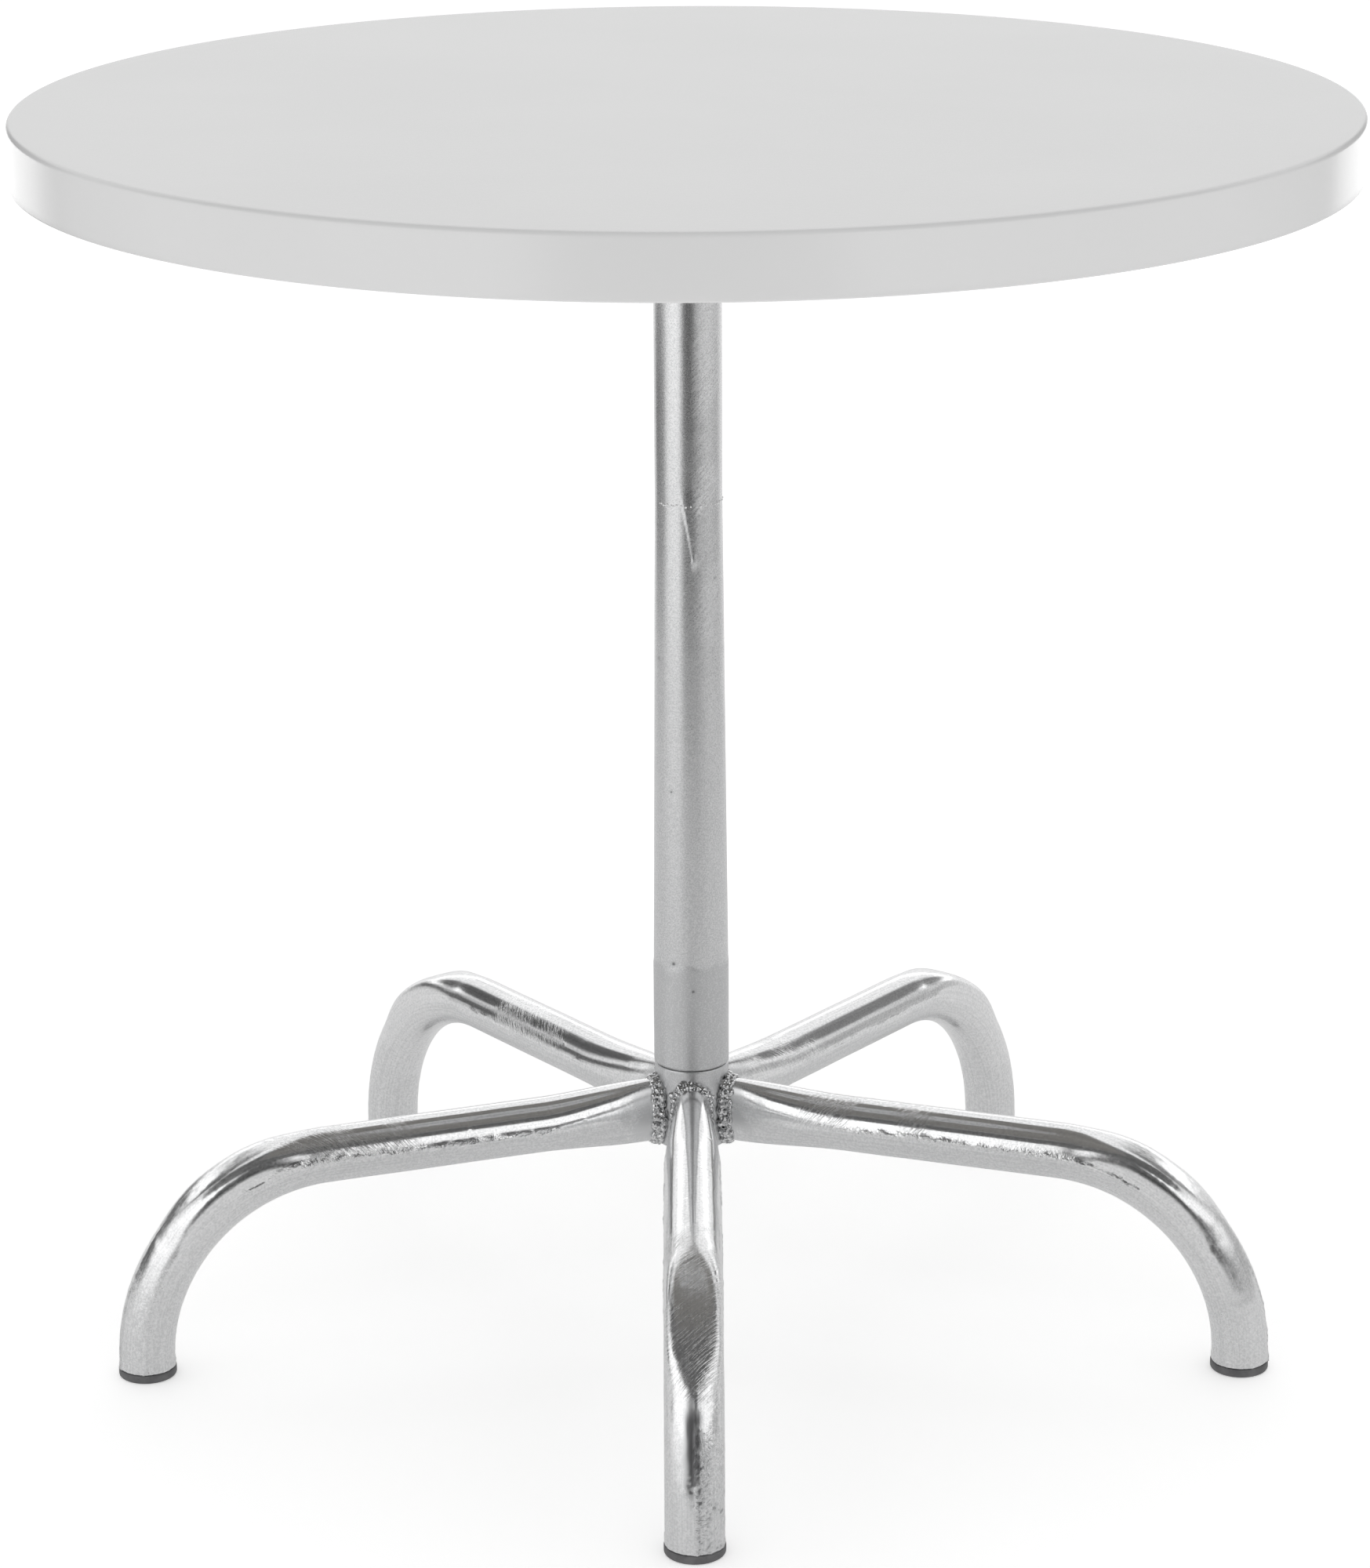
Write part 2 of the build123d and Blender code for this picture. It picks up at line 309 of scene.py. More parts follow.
def mapped(tree, source, scale, turn=0.0):
    """Coordinates turned about their third axis, then stretched by scale."""
    turned = add(tree, "ShaderNodeMapping", {"Rotation": (0, 0, turn)})
    tree.links.new(source, turned.inputs["Vector"])
    stretched = add(tree, "ShaderNodeMapping", {"Scale": scale})
    tree.links.new(turned.outputs["Vector"], stretched.inputs["Vector"])
    return stretched.outputs["Vector"]


def noise(tree, vector, scale, detail=3.0, rough=0.5, distortion=0.0):
    made = add(
        tree,
        "ShaderNodeTexNoise",
        {"Scale": scale, "Detail": detail, "Roughness": rough, "Distortion": distortion},
    )
    tree.links.new(vector, made.inputs["Vector"])
    return made.outputs["Fac"]


def remap(tree, value, low, high, to_low=0.0, to_high=1.0):
    made = add(
        tree,
        "ShaderNodeMapRange",
        {"From Min": low, "From Max": high, "To Min": to_low, "To Max": to_high},
        interpolation_type="SMOOTHSTEP",
    )
    tree.links.new(value, made.inputs["Value"])
    return made.outputs["Result"]


def math_node(tree, operation, first, second):
    made = add(tree, "ShaderNodeMath", operation=operation)
    for socket, value in zip(made.inputs, (first, second)):
        if isinstance(value, (int, float)):
            socket.default_value = value
        else:
            tree.links.new(value, socket)
    return made.outputs["Value"]


def plus(tree, first, second):
    return math_node(tree, "ADD", first, second)


def times(tree, first, second):
    return math_node(tree, "MULTIPLY", first, second)


def blend(tree, share, first, second):
    """A number between two others."""
    made = add(tree, "ShaderNodeMix", data_type="FLOAT")
    for key, value in (("Factor", share), ("A", first), ("B", second)):
        if isinstance(value, (int, float)):
            made.inputs[key].default_value = value
        else:
            tree.links.new(value, made.inputs[key])
    return made.outputs["Result"]


def bump(tree, height, depth, normal=None, strength=1.0):
    made = add(tree, "ShaderNodeBump", {"Distance": depth, "Strength": strength})
    tree.links.new(height, made.inputs["Height"])
    if normal is not None:
        tree.links.new(normal, made.inputs["Normal"])
    return made.outputs["Normal"]


def grey(tree, value, dark, light):
    """A colour between two greys."""
    made = add(tree, "ShaderNodeMix", data_type="RGBA")
    made.inputs["A"].default_value = (*dark, 1.0)
    made.inputs["B"].default_value = (*light, 1.0)
    tree.links.new(value, made.inputs["Factor"])
    return made.outputs["Result"]


def zinc(
    name, dark, light, rough, grain_size, grain_depth,
    streaky=0.0, wipe_depth=0.0, patchy=0.1, crevice_shade=False,
):
    """Hot-dip zinc: bright and dull patches, drawn streaks, wiping scratches, lumps and grain.

    rough is the roughness where the zinc is bright and where it is dull. streaky is the share of
    drawn streaks in the fine unevenness, and the crevice flag paints shade into a lumpy mesh's
    hollows.
    """
    material, tree, shader = new_material(name)
    place = add(tree, "ShaderNodeTexCoord")
    body, metres = place.outputs["Object"], place.outputs["UV"]
    matte, tone, wipe_mask, lump_mask, ash = (
        add(tree, "ShaderNodeAttribute", attribute_name=key).outputs["Fac"]
        for key in ("matte", "tone", "wipe", "lump", "ash")
    )
    patch = noise(tree, body, 38.0, 4.0, 0.62)
    speck = noise(tree, body, grain_size, 3.0, 0.62)
    grain = noise(tree, body, 2600.0, 2.0, 0.6)
    lumps = noise(tree, body, 430.0, 3.0, 0.55, 0.7)
    streak = noise(tree, mapped(tree, metres, (14.0, 900.0, 1.0)), 1.0, 4.0, 0.6)
    slanted = mapped(tree, metres, (70.0, 1200.0, 1.0), math.radians(-48))
    wipe = noise(tree, slanted, 1.0, 3.0, 0.6)
    wipe_lines = times(tree, remap(tree, wipe, 0.45, 0.66), wipe_mask)

    level = plus(tree, remap(tree, patch, 0.46, 0.74, 0.0, patchy), matte)
    drawn = blend(tree, streaky, speck, streak)
    shift = math_node(tree, "SUBTRACT", plus(tree, speck, drawn), 1.0)
    level = plus(tree, level, times(tree, shift, 0.3))
    finish = remap(tree, level, 0.0, 1.0, *rough)
    finish = plus(tree, finish, times(tree, wipe_lines, 0.1))
    finish = plus(tree, finish, times(tree, ash, 0.4))
    tree.links.new(finish, shader.inputs["Roughness"])

    mottle = plus(tree, times(tree, speck, 0.6), times(tree, drawn, 0.4))
    shade = math_node(tree, "SUBTRACT", remap(tree, mottle, 0.32, 0.66), tone)
    # painted shade: the hollows of a lumpy mesh are darkened where shade would fall
    if crevice_shade:
        point = add(tree, "ShaderNodeNewGeometry").outputs["Pointiness"]
        shade = times(tree, shade, remap(tree, point, 0.45, 0.51))
    shade = plus(tree, shade, ash)
    # the darkest tone fades to near-black: real pits, and also painted shade and painted reflection
    pits_and_painted_shade = add(tree, "ShaderNodeMix", {"B": (0.2, 0.2, 0.205, 1.0)}, data_type="RGBA")
    tree.links.new(remap(tree, tone, 0.8, 2.2), pits_and_painted_shade.inputs["Factor"])
    tree.links.new(grey(tree, shade, dark, light), pits_and_painted_shade.inputs["A"])
    tree.links.new(pits_and_painted_shade.outputs["Result"], shader.inputs["Base Color"])

    normal = bump(tree, drawn, 0.02 * MM)
    normal = bump(tree, wipe_lines, wipe_depth, normal)
    normal = bump(tree, times(tree, lumps, lump_mask), 0.9 * MM, normal)
    normal = bump(tree, speck, grain_depth, normal)
    normal = bump(tree, grain, grain_depth * 0.5, normal)
    tree.links.new(normal, shader.inputs["Normal"])
    tree.links.new(math_node(tree, "SUBTRACT", 1.0, ash), shader.inputs["Metallic"])
    return material


def gelcoat():
    """White moulded laminate: even satin gloss over a faint orange peel."""
    material, tree, shader = new_material("gelcoat")
    body = add(tree, "ShaderNodeTexCoord").outputs["Object"]
    cloud = noise(tree, body, 5.0, 3.0, 0.5)
    peel = noise(tree, body, 260.0, 2.0, 0.5)
    dust = noise(tree, body, 1700.0, 2.0, 0.6)
    white = grey(tree, remap(tree, cloud, 0.3, 0.7), (0.66, 0.66, 0.66), (0.68, 0.68, 0.68))
    tree.links.new(white, shader.inputs["Base Color"])
    tree.links.new(remap(tree, dust, 0.3, 0.7, 0.2, 0.27), shader.inputs["Roughness"])
    normal = bump(tree, peel, 0.03 * MM)
    normal = bump(tree, dust, 0.008 * MM, normal)
    tree.links.new(normal, shader.inputs["Normal"])
    shader.inputs["Specular IOR Level"].default_value = 0.5
    shader.inputs["Coat Weight"].default_value = 0.15
    shader.inputs["Coat Roughness"].default_value = 0.12
    return material


def plywood():
    """Ply sealed with grey paint, its grain still showing through."""
    material, tree, shader = new_material("plywood")
    body = add(tree, "ShaderNodeTexCoord").outputs["Object"]
    swirl = noise(tree, mapped(tree, body, (1.2, 7.0, 7.0)), 1.0, 3.0, 0.5, 0.6)
    lines = noise(tree, mapped(tree, body, (3.0, 150.0, 150.0)), 1.0, 5.0, 0.6, 0.3)
    fibre = noise(tree, mapped(tree, body, (40.0, 1600.0, 1600.0)), 1.0, 2.0, 0.5)
    figure = plus(tree, times(tree, swirl, 0.45), times(tree, lines, 0.55))
    share = remap(tree, figure, 0.36, 0.64)
    paint = grey(tree, share, (0.14, 0.135, 0.126), (0.21, 0.203, 0.19))
    tree.links.new(paint, shader.inputs["Base Color"])
    tree.links.new(remap(tree, fibre, 0.3, 0.7, 0.5, 0.68), shader.inputs["Roughness"])
    normal = bump(tree, fibre, 0.08 * MM, bump(tree, lines, 0.1 * MM))
    tree.links.new(normal, shader.inputs["Normal"])
    return material


def plug_plastic():
    """Dark grey moulded plastic with a fine spark-eroded grain."""
    material, tree, shader = new_material("plug_plastic")
    body = add(tree, "ShaderNodeTexCoord").outputs["Object"]
    grain = noise(tree, body, 1400.0, 2.0, 0.6)
    scuff = noise(tree, body, 110.0, 4.0, 0.65)
    worn = remap(tree, scuff, 0.35, 0.7)
    dark = grey(tree, worn, (0.085, 0.085, 0.088), (0.13, 0.13, 0.132))
    tree.links.new(dark, shader.inputs["Base Color"])
    tree.links.new(remap(tree, scuff, 0.3, 0.7, 0.42, 0.62), shader.inputs["Roughness"])
    tree.links.new(bump(tree, grain, 0.04 * MM), shader.inputs["Normal"])
    return material


# --- pieces ---
def tabletop(material):
    """Moulded top: flat face, rounded edge, straight rim and the hollow side."""
    inner = TOP_RADIUS - RIM_WALL
    edge_centre = (TOP_RADIUS - RIM_EDGE, TOP_HEIGHT - RIM_EDGE)
    lip_out = (TOP_RADIUS - LIP_EDGE, RIM_BOTTOM + LIP_EDGE)
    lip_in = (inner + LIP_EDGE, RIM_BOTTOM + LIP_EDGE)
    outline = line((0.002, TOP_HEIGHT), (edge_centre[0], TOP_HEIGHT), 44)
    outline += arc(edge_centre, RIM_EDGE, 90, 0, 10)
    outline += line((TOP_RADIUS, edge_centre[1] - 0.001), (TOP_RADIUS, lip_out[1] + 0.001), 10)
    outline += arc(lip_out, LIP_EDGE, 0, -90, 6)
    outline += arc(lip_in, LIP_EDGE, -90, -180, 6)
    outline += line((inner, lip_in[1] + 0.001), (inner, TOP_HEIGHT - SKIN), 8)
    outline += line((inner, TOP_HEIGHT - SKIN), (0.002, TOP_HEIGHT - SKIN), 12)
    outline += [(0.002, TOP_HEIGHT - SKIN)]

    def print_through(points):
        wave = waves(points, 0.16, 3) * 0.6 + waves(points, 0.07, 4) * 0.25
        from_rim = TOP_RADIUS - np.hypot(points[..., 0], points[..., 1])
        points[..., 2] += (wave - 1.6) * 0.03 * MM * step(0.0, 0.02, from_rim)
        return points

    piece = lathe("tabletop", outline, TOP_COLUMNS, uneven=print_through)
    return finish_piece(piece, material, "gelcoat_white", "tabletop_shell")


def end_pinch(index):
    """How far each side of a leg is pressed in where it meets the hub."""
    return END_PINCH * (0.2 if index == 0 else 1.0)


def leg_shell(index, travel, around, grow):
    """Points and outward directions of a leg at each distance along it and angle round it."""
    out, side, up = directions(index)
    rounded = step(HUB_RADIUS, ROUND_FROM, HUB_RADIUS + travel)[:, None]
    pinch = end_pinch(index) * (1 - step(0.0, 0.032, travel))[:, None]
    half_width = (OVAL_WIDTH / 2 + (LEG_RADIUS - OVAL_WIDTH / 2) * rounded) - pinch + grow
    half_height = (OVAL_HEIGHT / 2 + (LEG_RADIUS - OVAL_HEIGHT / 2) * rounded) + grow
    swing = LEG_SLOPE + np.clip((travel - RUN) / BEND_RADIUS, 0, math.pi / 2 - LEG_SLOPE)
    swing = swing[:, None, None]
    lift = np.sin(swing) * out + np.cos(swing) * up
    ahead = np.cos(swing) * out - np.sin(swing) * up
    straight = np.minimum(travel - RUN, 0) + np.maximum(travel - RUN - BEND, 0)
    centre = BEND_CENTRE_OUT * out + BEND_CENTRE_UP * up
    centre = centre + BEND_RADIUS * lift + straight[:, None, None] * ahead
    # the squeezed end has flatter sides than an ellipse, and the bend a flatter outside than a
    # circle
    bent = stretch(travel, RUN + 0.01, RUN + 0.05, RUN + 0.07, RUN + 0.11)[:, None]
    cos, sin = np.cos(around)[None, :], np.sin(around)[None, :]
    power = 2 + (1 - rounded) * SQUEEZE_FLATNESS + bent * BEND_FLATNESS * step(0.0, 0.4, sin)
    fuller = (np.abs(cos) ** power + np.abs(sin) ** power) ** (-1 / power)
    across = (cos * fuller)[..., None]
    above = (sin * fuller)[..., None]
    points = centre + half_width[..., None] * across * side + half_height[..., None] * above * lift
    facing = cos[..., None] * side + sin[..., None] * lift
    # the end is cut square, a little short of the hub
    settle = 1 - step(0.0, 0.02, travel)[:, None, None]
    points = points + END_GAP * settle * out
    return points, facing


def leg_surface(index, name, points, around, far):
    """What the zinc does on a leg: its lift in mm, and the masks that the material reads."""
    seed = 40 + 10 * index

    def uneven(size, key, squash=1.0):
        return waves(points * np.array([1, 1, squash]), size, seed + key)

    sin, cos = np.sin(around)[None, :], np.cos(around)[None, :]
    fine = uneven(0.0035, 0) * 0.6 + uneven(0.009, 1) * 0.6
    lift = 0.05 * uneven(0.05, 2) + 0.012 * uneven(0.016, 3)

    # a ridge with drips along each side, fainter on the back legs
    lump = np.zeros(points.shape[:2])
    there = stretch(far, 0.05, 0.1, RUN + 0.02, RUN + 0.09)
    for hand, key in ((1, 4), (-1, 5)):
        rise = 0.1 + 0.07 * np.sin(far * 23 + seed + key)
        line_at = rise if hand == 1 else math.pi - rise
        off = (around[None, :] - line_at + math.pi) % math.tau - math.pi
        off = hand * off * LEG_RADIUS + 0.7 * MM * uneven(0.008, key)
        broken = 0.35 + 0.65 * step(-0.6, 0.4, uneven(0.03, key + 20))
        hanging = np.clip(uneven(0.0034, key + 30, 0.4), 0, 2)
        ridge = there * broken * (0.3 if name.startswith("back") else 1.0)
        lift = lift + ridge * hump(off, 1.0 * MM) * (0.24 + 0.16 * fine)
        lift = lift + ridge * hump(off + 1.5 * MM, 1.4 * MM) * 0.4 * hanging
        lift = lift + there * hump(off, 3.0 * MM) * 0.05
        lump = np.maximum(lump, ridge * hump(off + 0.5 * MM, 2.6 * MM))

    # the underside of the straight run is dull, and its colour is darkened with painted shade
    shaded_underside = step(0.1, -0.12, sin + 0.06 * uneven(0.02, 6))
    shaded_underside = shaded_underside * (1 - step(RUN, RUN + 0.1, far)) * step(0.002, 0.02, far)
    # so are the foot, with its speckled right half, and the end at the hub, scorched by welding
    foot = step(LEG_LENGTH - 0.08, LEG_LENGTH - 0.035, far + 0.012 * uneven(0.03, 7))
    rough_half = step(-0.1, 0.15, cos) * step(-0.2, 0.2, sin) * (1.0 if index < 2 else 0.3)
    flecks = step(0.3, 1.6, uneven(0.0026, 14) + 0.5 * uneven(0.008, 15)) * rough_half
    by_hub = 1 - step(0.0, 0.06, far)
    scorched = 1 - step(0.006, 0.026, far + 0.006 * uneven(0.012, 13))
    scorched = scorched * step(0.3, 0.8, np.abs(cos))
    matte = 0.75 * shaded_underside + foot * (0.4 + 0.25 * rough_half) + 0.4 * lump
    matte = np.clip(matte + 0.3 * by_hub + 0.4 * scorched, 0, 1)
    tone = 0.25 * shaded_underside + foot * (0.2 + 1.4 * flecks) + 0.7 * scorched
    lump = np.clip(lump + foot * rough_half, 0, 1)
    lift = lift + foot * (0.05 * uneven(0.008, 8) + 0.2 * np.maximum(fine, 0) * rough_half)

    # a run of zinc down the front of the foot
    seam = ((around[None, :] - 1.5) * LEG_RADIUS) + 0.5 * MM * uneven(0.03, 9)
    run_down = step(LEG_LENGTH - 0.11, LEG_LENGTH - 0.06, far)
    lift = lift + (0.4 + 0.2 * fine) * hump(seam, 0.9 * MM) * run_down
    # painted shade: a darker line along one side of the run
    tone = tone + 1.1 * hump(seam + 1.5 * MM, 0.7 * MM) * run_down

    # the outside of the bend is dulled, then unevenly drawn
    outside = step(0.1, 0.5, sin)
    bent = stretch(far, RUN - 0.02, RUN + 0.02, RUN + 0.1, RUN + 0.15) * outside
    matte = np.clip(matte + 0.3 * bent, 0, 1)
    pulled = stretch(far, RUN + 0.02, RUN + 0.08, RUN + 0.13, RUN + 0.17) * outside
    lift = lift + 0.035 * pulled * uneven(0.0045, 16, 0.3)
    if name == "front":
        # painted reflection: a dark patch beside the run of zinc, standing in for something dark
        # mirrored in the dented zinc
        beside = cos * LEG_RADIUS + 1.2 * MM + 0.8 * MM * uneven(0.012, 18)
        dull = hump(beside, 3.8 * MM) * step(LEG_LENGTH - 0.085, LEG_LENGTH - 0.062, far)
        ragged = far + 0.005 * uneven(0.004, 17)
        dull = dull * (1 - step(LEG_LENGTH - 0.045, LEG_LENGTH - 0.028, ragged))
        tone = np.minimum(tone + 2.6 * dull, 2.2)
        matte = np.clip(matte + 1.2 * dull, 0, 1)

    # a ragged thick edge over the plug
    rim = step(LEG_LENGTH - 0.006, LEG_LENGTH - 0.001, far + 0.0025 * uneven(0.006, 10))
    lift = lift + rim * (0.2 + 0.2 * fine)

    first, last = WIPED[name]
    wiped = stretch(far, first - 0.01, first + 0.01, last - 0.01, last + 0.01)
    wipe = wiped * (1 - shaded_underside) * step(-0.9, 0.2, uneven(0.04, 11))

    rng = np.random.default_rng(seed + 12)
    for _ in range(PITS_PER_LEG):
        centre = points[rng.integers(30, LEG_ROWS - 5), rng.integers(0, LEG_COLUMNS)]
        size = rng.uniform(0.6, 1.2) * MM
        away = np.linalg.norm(points - centre, axis=-1)
        lift = lift + rng.choice([-0.16, 0.12, 0.18]) * hump(away, size)
    return lift, {"matte": matte, "tone": tone, "wipe": wipe, "lump": lump}


def leg(index, name, material):
    """A bent pipe leg with zinc ridges along its sides and a ragged rim above its plug."""
    spread = np.linspace(0, math.tau, LEG_COLUMNS, endpoint=False)
    around = spread - 0.33 * np.sin(2 * spread)
    travel = np.linspace(0, LEG_LENGTH, LEG_ROWS)
    far = travel[:, None]
    points, facing = leg_shell(index, travel, around, 0.0)
    lift, masks = leg_surface(index, name, points, around, far)
    points = points + (lift * step(0.0, 0.003, far) * MM)[..., None] * facing
    inner, _ = leg_shell(index, travel, around, -PIPE_WALL)
    inner = inner[::BORE_STEP][::-1]
    skin = np.concatenate([points, inner])
    along = np.concatenate([far, travel[::BORE_STEP][::-1][:, None]]) * np.ones(LEG_COLUMNS)
    hand = -1 if name == "front_right" else 1
    round_it = np.repeat(around[None, :] * LEG_RADIUS * hand, len(skin), 0)
    rest = np.zeros(inner.shape[:2])
    piece = grid_mesh(
        "leg_" + name + "_pipe",
        skin,
        wrap_rows=True,
        uv=(along, round_it, math.tau * LEG_RADIUS * hand),
        attributes={key: np.concatenate([mask, rest]) for key, mask in masks.items()},
    )
    return finish_piece(piece, material, "galvanised_steel", "leg_" + name)


def column_radius(height):
    """Outside radius of the upright: straight, then a cone, then straight again."""
    return np.interp(height, [TAPER_BOTTOM, TAPER_TOP], [HUB_RADIUS, COLUMN_RADIUS])


def round_pipe(name, low, high, rows, edge, coat):
    """Upright pipe about the column's axis, with broken edges and an uneven zinc coat."""
    angle = np.linspace(0, math.tau, PIPE_COLUMNS, endpoint=False)
    inside = np.linspace(low + edge, high - edge, rows)
    heights = np.concatenate([[low], inside, [high]])
    radius = column_radius(heights)
    radius[[0, -1]] -= edge
    facing = np.stack([np.cos(angle), np.sin(angle), 0 * angle], -1)[None]
    up = np.array([0, 0, 1.0])
    base = radius[:, None, None] * facing + up * heights[:, None, None]
    lift, masks = coat(base, angle[None, :], heights[:, None])
    keep = np.minimum(
        step(low, low + 2 * edge, heights), 1 - step(high - 2 * edge, high, heights)
    )
    outer = base + (lift * keep[:, None] * MM)[..., None] * facing
    bore = np.linspace(high, low, 8)
    inner = (column_radius(bore) - PIPE_WALL)[:, None, None] * facing + up * bore[:, None, None]
    skin = np.concatenate([outer, inner])
    along = np.concatenate([heights, bore])[:, None] * np.ones(PIPE_COLUMNS)
    round_it = np.repeat(angle[None, :] * COLUMN_RADIUS, len(skin), 0)
    rest = np.zeros(inner.shape[:2])
    whole = np.ones(outer.shape[:2])
    return grid_mesh(
        name,
        skin,
        wrap_rows=True,
        uv=(along, round_it, math.tau * COLUMN_RADIUS),
        attributes={
            key: np.concatenate([mask * whole, rest]) for key, mask in masks.items()
        },
    )


def column(material):
    """Upright with a dull band at its foot, a long zinc run, and beads where the taper starts."""

    def coat(base, angle, height):
        bearing = np.degrees(np.angle(np.exp(1j * (angle - FRONT))))
        lift = 0.04 * waves(base, 0.07, 11) + 0.012 * waves(base, 0.014, 12)
        ragged = 0.0012 * waves(base, 0.012, 13)
        band = 1 - step(BAND_TOP - 0.003, BAND_TOP + 0.0015, height + ragged)
        lift = lift + 0.3 * band
        lower = 1 - step(TAPER_BOTTOM, TAPER_TOP + 0.05, height)
        # the run: a sheet of zinc whose left edge slants down to the right and ends in a drop
        below = (TAPER_TOP + 0.012 - height) / 0.05
        edge_at = -22 + 30 * np.clip(below, 0, 1) ** 0.7
        inside = step(-1.0, 1.0, bearing - edge_at) * (1 - step(9, 26, bearing))
        sheet = inside * step(0.0, 0.25, below) * (1 - step(0.85, 1.0, below))
        drop_off = np.hypot((bearing - 8) * 0.35 * MM, (height - (TAPER_TOP - 0.034)) * 0.35)
        lift = lift + 0.4 * sheet + 0.5 * hump(drop_off, 1.3 * MM)
        right = stretch(bearing, 2, 12, 70, 85)
        upper = step(0.33, 0.4, height) * right * step(-0.5, 0.4, waves(base, 0.05, 14))
        spots = waves(base, 0.003, 15) * step(0.5, 1.2, waves(base, 0.02, 16))
        lift = lift + 0.02 * spots
        dots = 0 * lift
        for spot_at, spot_height, size in SPOTS:
            wide = (bearing - spot_at) * math.radians(1) * COLUMN_RADIUS
            dots = dots + hump(np.hypot(wide, height - spot_height), size * MM)
        lift = lift - 0.2 * dots
        return lift, {
            "matte": np.clip(0.2 + 0.6 * band + 0.15 * lower, 0, 1),
            "tone": 0.25 * band + 0.2 * lower + 0.1 * sheet + 2.2 * dots,
            "wipe": np.clip(upper + 0.35 * right, 0, 1),
            "lump": 0 * lift,
            "ash": 0 * lift,
        }

    piece = round_pipe("column_pipe", column_low.z, column_high.z, 560, 0.4 * MM, coat)
    add_beads(piece)
    return finish_piece(piece, material, "galvanised_steel", "column_tube")


def add_beads(piece):
    """Tiny pale, matte, non-metal specks on the swaging mark, merged into the column's mesh."""
    rng = np.random.default_rng(9)
    shape = bmesh.new()
    shape.from_mesh(piece.data)
    ash = shape.verts.layers.float["ash"]
    for bearing in np.concatenate([np.arange(-58, -18, 5.2), np.arange(-14, 170, 9.0)]):
        turn = FRONT + math.radians(bearing + rng.uniform(-1.6, 1.6))
        size = rng.uniform(0.35, 0.75) * MM
        reach = COLUMN_RADIUS + 0.15 * MM
        height = TAPER_TOP + rng.uniform(-0.4, 0.4) * MM
        place = Matrix.Translation((reach * math.cos(turn), reach * math.sin(turn), height))
        bead = bmesh.ops.create_icosphere(shape, subdivisions=2, radius=size, matrix=place)
        for vert in bead["verts"]:
            vert[ash] = 1.0
    shape.to_mesh(piece.data)
    shape.free()
    piece.data.shade_smooth()


def hub(material):
    """Short pipe under the joint line."""

    def coat(base, angle, height):
        lift = 0.05 * waves(base, 0.02, 21) + 0.03 * waves(base, 0.007, 22)
        levels = {"matte": 0.6, "tone": 0.45, "wipe": 0.0, "lump": 0.15}
        return lift, {key: level + 0 * lift for key, level in levels.items()}

    piece = round_pipe("hub_pipe", hub_low.z, hub_high.z, 60, 0.5 * MM, coat)
    return finish_piece(piece, material, "galvanised_steel", "hub_tube")


def puddles(index, rng):
    """Centres and radii of the weld's puddles, in three lanes round the end of a leg.

    The weld of the front leg is slimmer at its sides than the others, and fuller over its top.
    """
    out, side, up = directions(index)
    slim = index == 0
    end = HUB_RADIUS + END_GAP
    found = []
    for lane in (0.0, 0.5, 1.0):
        for i in range(WELD_STEPS):
            angle = math.tau * (i + lane + rng.uniform(-0.4, 0.4)) / WELD_STEPS
            cos, sin = math.cos(angle), math.sin(angle)
            fuller = (abs(cos) ** 2.6 + abs(sin) ** 2.6) ** (-1 / 2.6)
            across = (OVAL_WIDTH / 2 - end_pinch(index)) * cos * fuller
            height = OVAL_HEIGHT / 2 * sin * fuller
            deep = math.sqrt(HUB_RADIUS ** 2 - across ** 2)
            away = side * cos * 1.5 + up * sin
            away = away / np.linalg.norm(away)
            crown = step(0.2, 0.8, sin)
            radius = (1.35 + 0.7 * abs(cos) + rng.uniform(-0.5, 0.6)) * MM
            radius = radius * (0.7 + 0.35 * crown if slim else 1.0)
            near = deep + (end - deep) * 0.3
            far = end + (1.6 + 1.2 * abs(cos)) * MM * (0.5 if slim else 1.0)
            reach = near + (far - near) * lane + rng.uniform(-0.5, 0.5) * MM
            off = (1.5 - 1.1 * lane) * (0.5 + 0.6 * crown if slim else 1.0)
            off = off * rng.uniform(0.6, 1.4) * MM
            spot = out * reach + side * across + up * (AXIS_AT_HUB + height) + away * off
            found.append((spot + rng.normal(0, 0.2 * MM, 3), radius))
    return found


def weld(index, name, material):
    """Lumpy bead of overlapping puddles, merged into one skin."""
    rng = np.random.default_rng(300 + index)
    shape = bmesh.new()
    bmesh.ops.create_icosphere(shape, subdivisions=2, radius=1.0)
    ball_verts = np.array([v.co for v in shape.verts])
    ball_faces = np.array([[v.index for v in f.verts] for f in shape.faces])
    shape.free()
    verts, faces = [], []
    for spot, radius in puddles(index, rng):
        faces.extend((ball_faces + len(verts)).tolist())
        verts.extend((spot + ball_verts * radius * rng.uniform(0.85, 1.25, 3)).tolist())
    mesh = bpy.data.meshes.new("weld_" + name)
    mesh.from_pydata(verts, [], faces)
    piece = bpy.data.objects.new("weld_" + name, mesh)
    bpy.context.scene.collection.objects.link(piece)
    remesh = piece.modifiers.new("merge", "REMESH")
    remesh.mode = "VOXEL"
    remesh.voxel_size = WELD_VOXEL
    smooth = piece.modifiers.new("settle", "SMOOTH")
    smooth.iterations = 2
    smooth.factor = 0.5
    depsgraph = bpy.context.evaluated_depsgraph_get()
    merged = bpy.data.meshes.new_from_object(piece.evaluated_get(depsgraph))
    piece.modifiers.clear()
    piece.data = merged
    merged.name = "weld_" + name
    merged.shade_smooth()
    bpy.data.meshes.remove(mesh)
    return finish_piece(piece, material, "galvanised_weld", "leg_weld_" + name)


